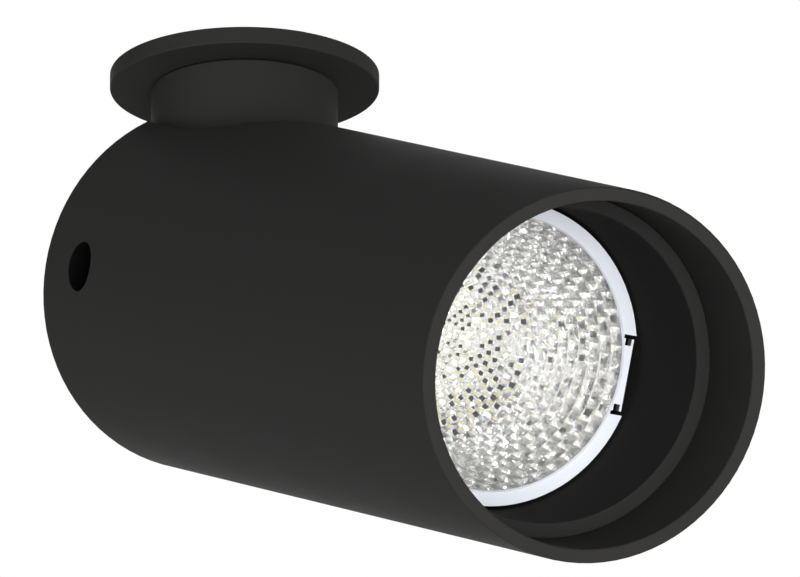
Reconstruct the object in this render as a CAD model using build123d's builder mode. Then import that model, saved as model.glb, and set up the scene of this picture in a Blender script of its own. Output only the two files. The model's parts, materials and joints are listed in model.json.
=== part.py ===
from build123d import *
import os
from math import asin, cos, degrees, radians, sin, sqrt

# A ceiling spotlight: a slotted tube on a tilting yoke, hung from a neck that turns under a
# small round flange. Millimetres. The origin is the centre of the flange's top face, at the
# ceiling, with +Z up. The tube points towards -Y and tilts about X.

# Housing tube
tube_diameter = 85.0
tube_length = 210.0
tube_wall = 3.2
tube_edge_fillet = 0.5
tube_back_chamfer = 0.4
ledge_height = 1.5
pivot_setback = 19.0
rest_tilt = 23.5
key_hole_diameter = 11.4

# Ceiling flange and its stem
pivot_drop = 54.6
flange_diameter = 62.4
flange_height = 4.0
flange_web = 2.0
flange_rim = 4.5
flange_edge_fillet = 0.4
stem_diameter = 10.0
stem_bore = 8.0
stem_free_length = 8.0
stem_chamfer = 0.6
collar_diameter = 28.0
collar_screw_circle = 20.0
collar_screw_count = 3
bush_bore = 6.4
bush_length = 8.0
bush_lip = 0.8

# Neck and its swivel
neck_diameter = 43.3
neck_wall = 5.0
neck_top_wall = 4.0
neck_edge_fillet = 0.5
swivel_bush_diameter = 18.0
shadow_gap = 0.4
thrust_washer_diameter = 29.0
stop_circle = 34.0
stop_pin_diameter = 2.4
stop_pin_engagement = 1.4
stop_groove_width = 3.0
stop_groove_depth = 1.8
pan_limit = 170.0
retaining_washer_diameter = 22.0
retaining_washer_thickness = 1.0
wave_washer_diameter = 18.0
wave_washer_thickness = 1.2
retaining_nut_width = 17.0
retaining_nut_height = 5.0
stem_nut_overhang = 1.0

# Pivot arm and yoke
arm_thickness = 24.0
arm_plug_height = 10.0
arm_wire_bore = 8.0
ear_radius = 12.0
ear_thickness = 4.5
neck_ear_gap = 4.0
bush_wall = 1.5
bush_flange_diameter = 16.0
bush_flange_thickness = 1.0
pivot_bush_depth = 8.0
friction_washer_thickness = 0.5
bolt_diameter = 6.0
bolt_head_diameter = 10.0
bolt_head_height = 6.0
bolt_socket_width = 5.0
bolt_socket_depth = 3.5
bolt_tail = 1.2
spring_washer_diameter = 14.0
spring_washer_thickness = 1.2
nut_width = 10.0
nut_height = 5.0
bulkhead_thickness = 4.0
bulkhead_gap = 2.0
bulkhead_wire_hole = 9.0
bulkhead_wire_radius = 21.0
post_diameter = 7.0
post_angle = 26.5
post_wall_gap = 0.8
cover_thickness = 3.0

# Light engine
sink_core_diameter = 26.0
sink_fin_count = 24
sink_fin_thickness = 1.6
sink_base = 6.0
sink_screw_circle = 17.0
sink_screw_count = 3
board_width = 28.0
board_thickness = 1.5
pad_thickness = 0.3
emitter_diameter = 18.0
emitter_thickness = 0.8
holder_diameter = 50.0
holder_thickness = 7.0
holder_aperture = 21.0
holder_recess_diameter = 30.0
holder_recess_depth = 3.0
holder_screw_spacing = 41.0

# Reflector and the ring in front of it
reflector_setback = 52.0
reflector_depth = 57.0
reflector_rim_gap = 0.85
reflector_rim_width = 3.35
reflector_rim_thickness = 1.8
reflector_throat = 22.0
reflector_wall = 1.4
facet_columns = 48
facet_rows = 12
tab_count = 3
tab_width = 17.5
tab_relief = 1.65
tab_slit = 0.8
baffle_setback = 22.0
baffle_wall = 3.5
baffle_overlap = 7.0
baffle_edge_fillet = 0.4
o_ring_section = 2.0
o_ring_groove_width = 2.6

# Screws: shank, head and drive sizes of each thread used
small_screw = {"shank": 2.4, "head": 4.6, "drive": 1.5}
medium_screw = {"shank": 3.0, "head": 5.6, "drive": 2.0}
sink_screw = {"shank": 4.0, "head": 7.0, "drive": 2.5}
screw_drive_depth = 0.9
cover_screw_length = 9.0
sink_screw_grip = 8.0
sink_screw_head_height = 2.4
holder_screw_grip = 5.0
grub_diameter = 4.0
grub_length = 9.0
grub_inset = 0.3
grub_drive = 2.0
grub_drive_depth = 2.0

# Clearances: turning shafts, pieces that slide together once, turning faces and the neck's slot
running_clearance = 0.05
fit_clearance = 0.05
seat_clearance = 0.1
face_clearance = 0.05
slot_clearance = 2.0
overcut = 5.0

# Radii that several pieces share
tube_radius = tube_diameter / 2
bore_radius = tube_radius - tube_wall
ledge_radius = bore_radius - ledge_height
insert_radius = bore_radius - seat_clearance
flange_radius = flange_diameter / 2
stem_radius = stem_diameter / 2
neck_radius = neck_diameter / 2
neck_bore_radius = neck_radius - neck_wall
swivel_bush_radius = swivel_bush_diameter / 2
slot_radius = neck_radius + slot_clearance
bolt_radius = bolt_diameter / 2
pivot_bush_radius = bolt_radius + running_clearance + bush_wall
baffle_bore_radius = insert_radius - baffle_wall
reflector_rim_radius = baffle_bore_radius - reflector_rim_gap
reflector_aperture_radius = reflector_rim_radius - reflector_rim_width
reflector_throat_radius = reflector_throat / 2

# Heights on the neck's axis, down from the ceiling
web_top = flange_web - flange_height
neck_top = -flange_height - shadow_gap
neck_ceiling = neck_top - neck_top_wall
retaining_washer_top = neck_ceiling - face_clearance
wave_washer_top = retaining_washer_top - retaining_washer_thickness
retaining_nut_top = wave_washer_top - wave_washer_thickness
stem_bottom = retaining_nut_top - retaining_nut_height - stem_nut_overhang
neck_bottom = -pivot_drop + ear_radius + neck_ear_gap
arm_top = neck_bottom + arm_plug_height

# Places along the tube's axis, forward from the tilt axis
tube_back = -pivot_setback
tube_front = tube_back + tube_length
cover_front = tube_back + cover_thickness
bulkhead_back = slot_radius + bulkhead_gap
bulkhead_front = bulkhead_back + bulkhead_thickness
rim_front = tube_front - reflector_setback
reflector_back = rim_front - reflector_depth
holder_front = reflector_back + holder_recess_depth
led_face = holder_front - holder_thickness
board_back = led_face + pad_thickness
board_front = board_back + board_thickness
baffle_front = tube_front - baffle_setback
baffle_back = rim_front - baffle_overlap

# Distances along the tilt axis, out from the middle
arm_side = arm_thickness / 2
washer_side = arm_side + bush_flange_thickness + face_clearance
ear_inside = washer_side + friction_washer_thickness
ear_outside = ear_inside + ear_thickness
nut_inside = ear_outside + spring_washer_thickness

# Planes: the head's own frame at rest, its long section, and the two that its side cuts use
pivot = (0, 0, -pivot_drop)
head = Plane(pivot, x_dir=(1, 0, 0), z_dir=(0, -cos(radians(rest_tilt)), -sin(radians(rest_tilt))))
head_axis = Axis(pivot, head.z_dir)
head_section = Plane(pivot, x_dir=head.x_dir, z_dir=-head.y_dir)
head_top = Plane(pivot, x_dir=head.x_dir, z_dir=head.y_dir)
head_side = Plane(pivot, x_dir=head.z_dir, z_dir=head.x_dir)
bolt_plane = Plane(pivot, x_dir=head.z_dir, z_dir=-head.x_dir)
arm_side_plane = Plane(pivot, x_dir=(0, 1, 0), z_dir=(1, 0, 0))

os.makedirs("parts", exist_ok=True)


def on_circle(radius, count, first=0.0):
    """Points spaced evenly on a circle, the first at an angle from the plane's x."""
    turns = [radians(first + 360 * i / count) for i in range(count)]
    return [(radius * cos(turn), radius * sin(turn)) for turn in turns]


def countersunk(screw, length, clearance=0.0):
    """A countersunk screw with its flat face at z = 0, or with a clearance the hole for one."""
    shank = screw["shank"] / 2 + clearance
    rim = screw["head"] / 2 + clearance
    with BuildPart() as blank:
        with BuildSketch(Plane.XZ):
            with BuildLine():
                Polyline((0, 0), (rim, 0), (shank, shank - rim), (shank, -length), (0, -length), close=True)
            make_face()
        revolve(axis=Axis.Z)
        if not clearance:
            with BuildSketch(Plane.XY):
                RegularPolygon(screw["drive"] / 2, 6, major_radius=False)
            extrude(amount=-screw_drive_depth, mode=Mode.SUBTRACT)
    return blank.part


# Ceiling flange: a thin disc with a raised rim and a shallow cavity for the stem's collar
collar_spots = on_circle(collar_screw_circle / 2, collar_screw_count, first=90)
collar_screw_length = flange_height
with BuildPart() as ceiling_flange:
    with BuildSketch(Plane.XY.offset(-flange_height)):
        Circle(flange_radius)
    extrude(amount=flange_height)
    fillet(ceiling_flange.edges().filter_by(GeomType.CIRCLE), flange_edge_fillet)
    with BuildSketch(Plane.XY):
        Circle(flange_radius - flange_rim)
    extrude(amount=web_top, mode=Mode.SUBTRACT)
    with BuildSketch(Plane.XY):
        Circle(stem_radius + fit_clearance)
        with Locations(*collar_spots):
            Circle(small_screw["shank"] / 2 + fit_clearance)
        with Locations((0, stop_circle / 2)):
            Circle(stop_pin_diameter / 2 + fit_clearance)
    extrude(amount=-flange_height, mode=Mode.SUBTRACT)
ceiling_flange.part.label = "ceiling_flange"
export_step(ceiling_flange.part, "parts/ceiling_flange.step")

# Ceiling stem: a hollow threaded tube whose collar sits in the flange; the neck's bush turns on its shank
with BuildPart() as ceiling_stem:
    with BuildSketch(Plane.XY.offset(stem_bottom)):
        Circle(stem_radius)
    extrude(amount=stem_free_length - stem_bottom)
    chamfer(ceiling_stem.edges().filter_by(GeomType.CIRCLE), stem_chamfer)
    with BuildSketch(Plane.XY.offset(web_top)):
        Circle(collar_diameter / 2)
    extrude(amount=-web_top)
    with BuildSketch(Plane.XY.offset(stem_bottom)):
        Circle(stem_bore / 2)
    extrude(amount=stem_free_length - stem_bottom, mode=Mode.SUBTRACT)
    with Locations(*collar_spots):
        add(countersunk(small_screw, collar_screw_length, fit_clearance), mode=Mode.SUBTRACT)
ceiling_stem.part.label = "ceiling_stem"
export_step(ceiling_stem.part, "parts/ceiling_stem.step")

with BuildPart() as collar_screws:
    with Locations(*collar_spots):
        add(countersunk(small_screw, collar_screw_length))
collar_screws.part.label = "collar_screws"
export_step(collar_screws.part, "parts/collar_screws.step")

# Cable bush: the lipped sleeve in the stem's free end that the supply cable enters through
with BuildPart() as cable_bush:
    with BuildSketch(Plane.XY.offset(stem_free_length)):
        Circle(stem_radius - stem_chamfer / 2)
    extrude(amount=bush_lip)
    with BuildSketch(Plane.XY.offset(stem_free_length)):
        Circle(stem_bore / 2 - fit_clearance)
    extrude(amount=-bush_length)
    with BuildSketch(Plane.XY.offset(stem_free_length + bush_lip)):
        Circle(bush_bore / 2)
    extrude(amount=-bush_lip - bush_length, mode=Mode.SUBTRACT)
    mouth = cable_bush.faces().sort_by(Axis.Z)[-1].edges()
    fillet(mouth, bush_lip / 3)
cable_bush.part.label = "cable_bush"
export_step(cable_bush.part, "parts/cable_bush.step")

# Stop pin: stands down out of the flange and runs in the neck's groove
with BuildPart() as pan_stop_pin:
    with BuildSketch(Plane.XY.offset(web_top)):
        with Locations((0, stop_circle / 2)):
            Circle(stop_pin_diameter / 2)
    extrude(amount=neck_top - stop_pin_engagement - web_top)
pan_stop_pin.part.label = "pan_stop_pin"
export_step(pan_stop_pin.part, "parts/pan_stop_pin.step")

# Washers and nut that hold the neck up on the stem
with BuildPart() as retaining_washer:
    with BuildSketch(Plane.XY.offset(retaining_washer_top)):
        Circle(retaining_washer_diameter / 2)
        Circle(stem_radius + fit_clearance, mode=Mode.SUBTRACT)
    extrude(amount=-retaining_washer_thickness)
retaining_washer.part.label = "retaining_washer"
export_step(retaining_washer.part, "parts/retaining_washer.step")

with BuildPart() as wave_washer:
    with BuildSketch(Plane.XY.offset(wave_washer_top)):
        Circle(wave_washer_diameter / 2)
        Circle(stem_radius + fit_clearance, mode=Mode.SUBTRACT)
    extrude(amount=-wave_washer_thickness)
wave_washer.part.label = "wave_washer"
export_step(wave_washer.part, "parts/wave_washer.step")

with BuildPart() as retaining_nut:
    with BuildSketch(Plane.XY.offset(retaining_nut_top)):
        RegularPolygon(retaining_nut_width / 2, 6, major_radius=False)
        Circle(stem_radius + fit_clearance, mode=Mode.SUBTRACT)
    extrude(amount=-retaining_nut_height)
retaining_nut.part.label = "retaining_nut"
export_step(retaining_nut.part, "parts/retaining_nut.step")

# Thrust washer: a plastic ring in the shadow gap, on which the neck turns under the flange
with BuildPart() as thrust_washer:
    with BuildSketch(Plane.XY.offset(neck_top)):
        Circle(thrust_washer_diameter / 2)
        Circle(stem_radius + fit_clearance, mode=Mode.SUBTRACT)
    extrude(amount=shadow_gap - face_clearance)
thrust_washer.part.label = "thrust_washer"
export_step(thrust_washer.part, "parts/thrust_washer.step")

# Neck housing: a deep cup turned upside down, with the stop groove cut round its top. The groove
# is left whole where the pin has to stop: a land opposite the pin at rest.
stop_half_turn = 180 - pan_limit - degrees(asin(stop_pin_diameter / stop_circle))
land_width = stop_circle * sin(radians(stop_half_turn)) - 2 * running_clearance
grub_height = (neck_bottom + arm_top) / 2
with BuildPart() as neck_housing:
    with BuildSketch(Plane.XY.offset(neck_bottom)):
        Circle(neck_radius)
    extrude(amount=neck_top - neck_bottom)
    fillet(neck_housing.edges().filter_by(GeomType.CIRCLE), neck_edge_fillet)
    with BuildSketch(Plane.XY.offset(neck_bottom)):
        Circle(neck_bore_radius)
    extrude(amount=neck_ceiling - neck_bottom, mode=Mode.SUBTRACT)
    with BuildSketch(Plane.XY.offset(neck_ceiling)):
        Circle(swivel_bush_radius + fit_clearance)
    extrude(amount=neck_top_wall, mode=Mode.SUBTRACT)
    with BuildSketch(Plane.XY.offset(neck_top)):
        Circle((stop_circle + stop_groove_width) / 2)
        Circle((stop_circle - stop_groove_width) / 2, mode=Mode.SUBTRACT)
        with Locations((0, -stop_circle / 2)):
            Rectangle(land_width, 2 * stop_groove_width, mode=Mode.SUBTRACT)
    extrude(amount=-stop_groove_depth, mode=Mode.SUBTRACT)
    with BuildSketch(Plane.YZ.offset(-neck_diameter)):
        with Locations((0, grub_height)):
            Circle(grub_diameter / 2 + fit_clearance)
    extrude(amount=2 * neck_diameter, mode=Mode.SUBTRACT)
neck_housing.part.label = "neck_housing"
export_step(neck_housing.part, "parts/neck_housing.step")

# Swivel bush: the plastic sleeve in the neck's top that turns on the stem
with BuildPart() as swivel_bush:
    with BuildSketch(Plane.XY.offset(neck_ceiling)):
        Circle(swivel_bush_radius)
        Circle(stem_radius + running_clearance, mode=Mode.SUBTRACT)
    extrude(amount=neck_top_wall)
swivel_bush.part.label = "swivel_bush"
export_step(swivel_bush.part, "parts/swivel_bush.step")

# Pivot arm: a round plug in the neck, and below it a flat tongue with a round end on the tilt axis
with BuildPart() as pivot_arm:
    with BuildSketch(Plane.XY.offset(neck_bottom)):
        Circle(neck_bore_radius - fit_clearance)
    extrude(amount=arm_plug_height)
    with BuildSketch(arm_side_plane.offset(-arm_side)):
        Circle(ear_radius)
        with Locations((0, (neck_bottom + pivot_drop) / 2)):
            Rectangle(2 * ear_radius, neck_bottom + pivot_drop)
    extrude(amount=arm_thickness)
    with BuildSketch(arm_side_plane.offset(-arm_side)):
        Circle(pivot_bush_radius + fit_clearance)
    extrude(amount=arm_thickness, mode=Mode.SUBTRACT)
    with BuildSketch(Plane.XY.offset(arm_top)):
        Circle(arm_wire_bore / 2)
    extrude(amount=neck_bottom - neck_ear_gap - arm_top, mode=Mode.SUBTRACT)
    with BuildSketch(Plane.XZ):
        with Locations((0, neck_bottom - neck_ear_gap)):
            Circle(arm_wire_bore / 2)
    extrude(amount=neck_radius, mode=Mode.SUBTRACT)
    with BuildSketch(Plane.YZ.offset(-neck_diameter)):
        with Locations((0, grub_height)):
            Circle(grub_diameter / 2 + fit_clearance)
    extrude(amount=2 * neck_diameter, mode=Mode.SUBTRACT)
pivot_arm.part.label = "pivot_arm"
export_step(pivot_arm.part, "parts/pivot_arm.step")

# Arm screws: two socket grub screws that hold the plug in the neck, inside the tube
with BuildPart() as arm_screws:
    for side in (-1, 1):
        grub_plane = Plane((side * (neck_radius - grub_inset), 0, grub_height), z_dir=(side, 0, 0))
        with BuildSketch(grub_plane):
            Circle(grub_diameter / 2)
        extrude(amount=-grub_length)
        with BuildSketch(grub_plane):
            RegularPolygon(grub_drive / 2, 6, major_radius=False)
        extrude(amount=-grub_drive_depth, mode=Mode.SUBTRACT)
arm_screws.part.label = "arm_screws"
export_step(arm_screws.part, "parts/arm_screws.step")

# Pivot bushes in the arm, and the friction washers between them and the yoke's ears
for name, side in (("left", -1), ("right", 1)):
    bush_plane = Plane((side * arm_side, 0, -pivot_drop), z_dir=(side, 0, 0))
    with BuildPart() as pivot_bush:
        with BuildSketch(bush_plane):
            Circle(bush_flange_diameter / 2)
        extrude(amount=bush_flange_thickness)
        with BuildSketch(bush_plane):
            Circle(pivot_bush_radius)
        extrude(amount=-pivot_bush_depth)
        with BuildSketch(bush_plane.offset(bush_flange_thickness)):
            Circle(bolt_radius + running_clearance)
        extrude(amount=-bush_flange_thickness - pivot_bush_depth, mode=Mode.SUBTRACT)
    pivot_bush.part.label = "pivot_bush_" + name
    export_step(pivot_bush.part, "parts/pivot_bush_" + name + ".step")
    with BuildPart() as friction_washer:
        with BuildSketch(Plane((side * washer_side, 0, -pivot_drop), z_dir=(side, 0, 0))):
            Circle(bush_flange_diameter / 2)
            Circle(bolt_radius + fit_clearance, mode=Mode.SUBTRACT)
        extrude(amount=friction_washer_thickness)
    friction_washer.part.label = "friction_washer_" + name
    export_step(friction_washer.part, "parts/friction_washer_" + name + ".step")

# Pivot bolt, its disc spring and its nut
with BuildPart() as pivot_bolt:
    with BuildSketch(bolt_plane.offset(ear_outside)):
        Circle(bolt_head_diameter / 2)
    extrude(amount=bolt_head_height)
    fillet(pivot_bolt.edges().filter_by(GeomType.CIRCLE).sort_by(Axis.X)[0], bolt_tail / 3)
    with BuildSketch(bolt_plane.offset(ear_outside + bolt_head_height)):
        RegularPolygon(bolt_socket_width / 2, 6, major_radius=False)
    extrude(amount=-bolt_socket_depth, mode=Mode.SUBTRACT)
    with BuildSketch(bolt_plane.offset(ear_outside)):
        Circle(bolt_radius)
    extrude(amount=-ear_outside - nut_inside - nut_height - bolt_tail)
pivot_bolt.part.label = "pivot_bolt"
export_step(pivot_bolt.part, "parts/pivot_bolt.step")

with BuildPart() as spring_washer:
    with BuildSketch(head_side.offset(ear_outside)):
        Circle(spring_washer_diameter / 2)
        Circle(bolt_radius + fit_clearance, mode=Mode.SUBTRACT)
    extrude(amount=spring_washer_thickness)
    chamfer(spring_washer.edges().sort_by(Axis.X)[-1], spring_washer_thickness / 2)
spring_washer.part.label = "spring_washer"
export_step(spring_washer.part, "parts/spring_washer.step")

with BuildPart() as pivot_nut:
    with BuildSketch(head_side.offset(nut_inside)):
        RegularPolygon(nut_width / 2, 6, major_radius=False)
        Circle(bolt_radius + fit_clearance, mode=Mode.SUBTRACT)
    extrude(amount=nut_height)
pivot_nut.part.label = "pivot_nut"
export_step(pivot_nut.part, "parts/pivot_nut.step")

# Housing tube: turned with a ledge inside, a slot in its top that is open to the back for the neck,
# and one hole on the tilt axis that a key reaches the pivot bolt through
with BuildPart() as housing_tube:
    with BuildSketch(head_section):
        with BuildLine():
            Polyline(
                (bore_radius, tube_back),
                (tube_radius, tube_back),
                (tube_radius, tube_front),
                (bore_radius, tube_front),
                (bore_radius, bulkhead_back),
                (ledge_radius, bulkhead_back),
                (ledge_radius, cover_front),
                (bore_radius, cover_front),
                close=True,
            )
        make_face()
    revolve(axis=head_axis)
    end_rings = housing_tube.faces().filter_by(Plane(pivot, z_dir=head.z_dir)).sort_by(head_axis)
    fillet(end_rings[-1].edges(), tube_edge_fillet)
    chamfer(end_rings[0].edges(), tube_back_chamfer)
    with BuildSketch(head_top):
        Circle(slot_radius)
        with Locations((0, (pivot_setback + overcut) / 2)):
            Rectangle(2 * slot_radius, pivot_setback + overcut)
    extrude(amount=tube_diameter, mode=Mode.SUBTRACT)
    with BuildSketch(bolt_plane):
        Circle(key_hole_diameter / 2)
    extrude(amount=tube_diameter, mode=Mode.SUBTRACT)
housing_tube.part.label = "housing_tube"
export_step(housing_tube.part, "parts/housing_tube.step")

# Rear cover: a disc let into the tube's back end, cut from its middle to its top for the neck
post_circle = ledge_radius - post_wall_gap - post_diameter / 2
post_spots = [
    (side * post_circle * cos(radians(post_angle)), rise * post_circle * sin(radians(post_angle)))
    for side in (-1, 1)
    for rise in (-1, 1)
]
cover_outside = Plane(head.offset(tube_back).origin, x_dir=head.x_dir, z_dir=-head.z_dir)
with BuildPart() as rear_cover:
    with BuildSketch(head.offset(tube_back)):
        Circle(insert_radius)
        Circle(slot_radius, mode=Mode.SUBTRACT)
        with Locations((0, tube_radius / 2)):
            Rectangle(2 * slot_radius, tube_radius, mode=Mode.SUBTRACT)
    extrude(amount=cover_thickness)
    with Locations(cover_outside):
        with Locations(*post_spots):
            add(countersunk(medium_screw, cover_screw_length, fit_clearance), mode=Mode.SUBTRACT)
rear_cover.part.label = "rear_cover"
export_step(rear_cover.part, "parts/rear_cover.step")

with BuildPart() as cover_screws:
    with Locations(cover_outside):
        with Locations(*post_spots):
            add(countersunk(medium_screw, cover_screw_length))
cover_screws.part.label = "cover_screws"
export_step(cover_screws.part, "parts/cover_screws.step")

# Yoke frame: a bulkhead across the tube, two ears for the pivot bolt and four posts for the cover
sink_screw_spots = on_circle(sink_screw_circle / 2, sink_screw_count, first=90)
with BuildPart() as yoke_frame:
    with BuildSketch(head.offset(bulkhead_back)):
        Circle(insert_radius)
        with Locations((0, -bulkhead_wire_radius)):
            Circle(bulkhead_wire_hole / 2, mode=Mode.SUBTRACT)
        with Locations(*sink_screw_spots):
            Circle(sink_screw["shank"] / 2 + fit_clearance, mode=Mode.SUBTRACT)
    extrude(amount=bulkhead_thickness)
    with BuildSketch(head.offset(cover_front)):
        with Locations(*post_spots):
            Circle(post_diameter / 2)
    extrude(amount=bulkhead_back - cover_front)
    with BuildSketch(head.offset(cover_front)):
        with Locations(*post_spots):
            Circle(medium_screw["shank"] / 2 + fit_clearance)
    extrude(amount=cover_screw_length, mode=Mode.SUBTRACT)
    for side_start in (-ear_outside, ear_inside):
        with BuildSketch(head_side.offset(side_start)):
            Circle(ear_radius)
            with Locations((bulkhead_back / 2, 0)):
                Rectangle(bulkhead_back, 2 * ear_radius)
            Circle(bolt_radius + fit_clearance, mode=Mode.SUBTRACT)
        extrude(amount=ear_thickness)
yoke_frame.part.label = "yoke_frame"
export_step(yoke_frame.part, "parts/yoke_frame.step")

# Heat sink: a core with radial fins behind the thick base that the light source sits on
fin_inside = sink_core_diameter / 2 - sink_fin_thickness
holder_spots = [(-holder_screw_spacing / 2, 0), (holder_screw_spacing / 2, 0)]
with BuildPart() as heat_sink:
    with BuildSketch(head.offset(bulkhead_front)):
        Circle(sink_core_diameter / 2)
        with PolarLocations((fin_inside + insert_radius) / 2, sink_fin_count):
            Rectangle(insert_radius - fin_inside - seat_clearance, sink_fin_thickness)
    extrude(amount=led_face - sink_base - bulkhead_front)
    with BuildSketch(head.offset(led_face - sink_base)):
        Circle(insert_radius)
    extrude(amount=sink_base)
    with BuildSketch(head.offset(bulkhead_front)):
        with Locations(*sink_screw_spots):
            Circle(sink_screw["shank"] / 2 + fit_clearance)
    extrude(amount=sink_screw_grip, mode=Mode.SUBTRACT)
    with BuildSketch(head.offset(led_face)):
        with Locations(*holder_spots):
            Circle(medium_screw["shank"] / 2 + fit_clearance)
    extrude(amount=-holder_screw_grip, mode=Mode.SUBTRACT)
heat_sink.part.label = "heat_sink"
export_step(heat_sink.part, "parts/heat_sink.step")

with BuildPart() as heat_sink_screws:
    with BuildSketch(head.offset(bulkhead_back - sink_screw_head_height)):
        with Locations(*sink_screw_spots):
            Circle(sink_screw["head"] / 2)
            RegularPolygon(sink_screw["drive"] / 2, 6, major_radius=False, mode=Mode.SUBTRACT)
    extrude(amount=sink_screw_head_height)
    with BuildSketch(head.offset(bulkhead_back - screw_drive_depth)):
        with Locations(*sink_screw_spots):
            Circle(sink_screw["shank"] / 2)
    extrude(amount=screw_drive_depth + bulkhead_thickness + sink_screw_grip)
heat_sink_screws.part.label = "heat_sink_screws"
export_step(heat_sink_screws.part, "parts/heat_sink_screws.step")

# Light source: a square board on a thermal pad, with a round emitting field
with BuildPart() as thermal_pad:
    with BuildSketch(head.offset(led_face)):
        Rectangle(board_width, board_width)
    extrude(amount=pad_thickness)
thermal_pad.part.label = "thermal_pad"
export_step(thermal_pad.part, "parts/thermal_pad.step")

with BuildPart() as led_board:
    with BuildSketch(head.offset(board_back)):
        Rectangle(board_width, board_width)
    extrude(amount=board_thickness)
led_board.part.label = "led_board"
export_step(led_board.part, "parts/led_board.step")

with BuildPart() as led_emitter:
    with BuildSketch(head.offset(board_front)):
        Circle(emitter_diameter / 2)
    extrude(amount=emitter_thickness)
    fillet(led_emitter.edges().sort_by(head_axis)[-1], emitter_thickness / 2)
led_emitter.part.label = "led_emitter"
export_step(led_emitter.part, "parts/led_emitter.step")

# Holder: clamps the board to the heat sink and seats the reflector's collar in its front
holder_screw_length = holder_thickness + holder_screw_grip
with BuildPart() as led_holder:
    with BuildSketch(head.offset(led_face)):
        Circle(holder_diameter / 2)
        Circle(holder_aperture / 2, mode=Mode.SUBTRACT)
    extrude(amount=holder_thickness)
    with BuildSketch(head.offset(led_face)):
        Rectangle(board_width + 2 * seat_clearance, board_width + 2 * seat_clearance)
    extrude(amount=pad_thickness + board_thickness, mode=Mode.SUBTRACT)
    with BuildSketch(head.offset(holder_front)):
        Circle(holder_recess_diameter / 2)
    extrude(amount=-holder_recess_depth, mode=Mode.SUBTRACT)
    with Locations(head.offset(holder_front)):
        with Locations(*holder_spots):
            add(countersunk(medium_screw, holder_screw_length, fit_clearance), mode=Mode.SUBTRACT)
led_holder.part.label = "led_holder"
export_step(led_holder.part, "parts/led_holder.step")

with BuildPart() as holder_screws:
    with Locations(head.offset(holder_front)):
        with Locations(*holder_spots):
            add(countersunk(medium_screw, holder_screw_length))
holder_screws.part.label = "holder_screws"
export_step(holder_screws.part, "parts/holder_screws.step")


def bowl_radius(share):
    """Radius of the reflector's paraboloid at a share of its depth, from throat to rim."""
    throat_square = reflector_throat_radius**2
    return sqrt(throat_square + share * (reflector_aperture_radius**2 - throat_square))


# Reflector: a thin paraboloid bowl, faceted inside, with a flat rim that three snap tabs are slit from
row_shares = [row / facet_rows for row in range(facet_rows + 1)]
facet_spread = 1 / cos(radians(180 / facet_columns))
collar_radius = holder_recess_diameter / 2 - seat_clearance
with BuildPart() as reflector:
    with BuildSketch(head_section):
        with BuildLine():
            outer = [
                (bowl_radius(share) * facet_spread + reflector_wall, reflector_back + share * reflector_depth)
                for share in row_shares
            ]
            Spline(*outer)
            Polyline(outer[-1], (0, rim_front), (0, reflector_back), outer[0])
        make_face()
    revolve(axis=head_axis)
    with BuildSketch(head.offset(rim_front)):
        Circle(reflector_rim_radius)
    extrude(amount=-reflector_rim_thickness)
    with BuildSketch(head.offset(reflector_back)):
        Circle(collar_radius)
    extrude(amount=holder_recess_depth)
    for share in row_shares:
        with BuildSketch(head.offset(reflector_back + share * reflector_depth)):
            RegularPolygon(bowl_radius(share) * facet_spread, facet_columns)
    loft(ruled=True, mode=Mode.SUBTRACT)
    with BuildSketch(head.offset(rim_front)):
        with PolarLocations(reflector_rim_radius, tab_count):
            with Locations((reflector_wall - tab_relief, 0)):
                Rectangle(2 * reflector_wall, tab_width)
        with PolarLocations((reflector_aperture_radius + reflector_rim_radius) / 2 + reflector_wall, tab_count):
            with Locations((0, -tab_width / 2), (0, tab_width / 2)):
                Rectangle(reflector_rim_radius - reflector_aperture_radius, tab_slit)
    extrude(amount=-reflector_rim_thickness, mode=Mode.SUBTRACT)
reflector.part.label = "reflector"
export_step(reflector.part, "parts/reflector.step")

# Baffle ring: the black sleeve set back in the tube's mouth, held by an O-ring in its groove
baffle_middle = (baffle_front + baffle_back) / 2
groove_floor = bore_radius - o_ring_section - fit_clearance
with BuildPart() as baffle_ring:
    with BuildSketch(head.offset(baffle_back)):
        Circle(insert_radius)
        Circle(baffle_bore_radius, mode=Mode.SUBTRACT)
    extrude(amount=baffle_front - baffle_back)
    fillet(baffle_ring.faces().sort_by(head_axis)[-1].edges(), baffle_edge_fillet)
    with BuildSketch(head.offset(baffle_middle)):
        Circle(tube_radius)
        Circle(groove_floor - fit_clearance, mode=Mode.SUBTRACT)
    extrude(amount=o_ring_groove_width / 2, both=True, mode=Mode.SUBTRACT)
baffle_ring.part.label = "baffle_ring"
export_step(baffle_ring.part, "parts/baffle_ring.step")

with BuildPart() as baffle_o_ring:
    with BuildSketch(head_section):
        with Locations((groove_floor + o_ring_section / 2, baffle_middle)):
            Circle(o_ring_section / 2)
    revolve(axis=head_axis)
baffle_o_ring.part.label = "baffle_o_ring"
export_step(baffle_o_ring.part, "parts/baffle_o_ring.step")
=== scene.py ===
# %% [markdown]
# A ceiling spotlight in matte black
#
# The light is a round tube that hangs from a short neck under a small flange. It tilts on a bolt
# inside its slotted back end, and a bright faceted reflector sits deep in its mouth. The model's
# solids come in as a fixed frame with real sizes. This lesson gives every surface its finish, and
# remakes the pieces whose looks need more than the plain solids hold.

# %% Load the frame
import bmesh
import bpy
import json
from math import atan2, ceil, cos, pi, radians, sin, sqrt, tau
from mathutils import Matrix, Vector
from random import Random


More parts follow.
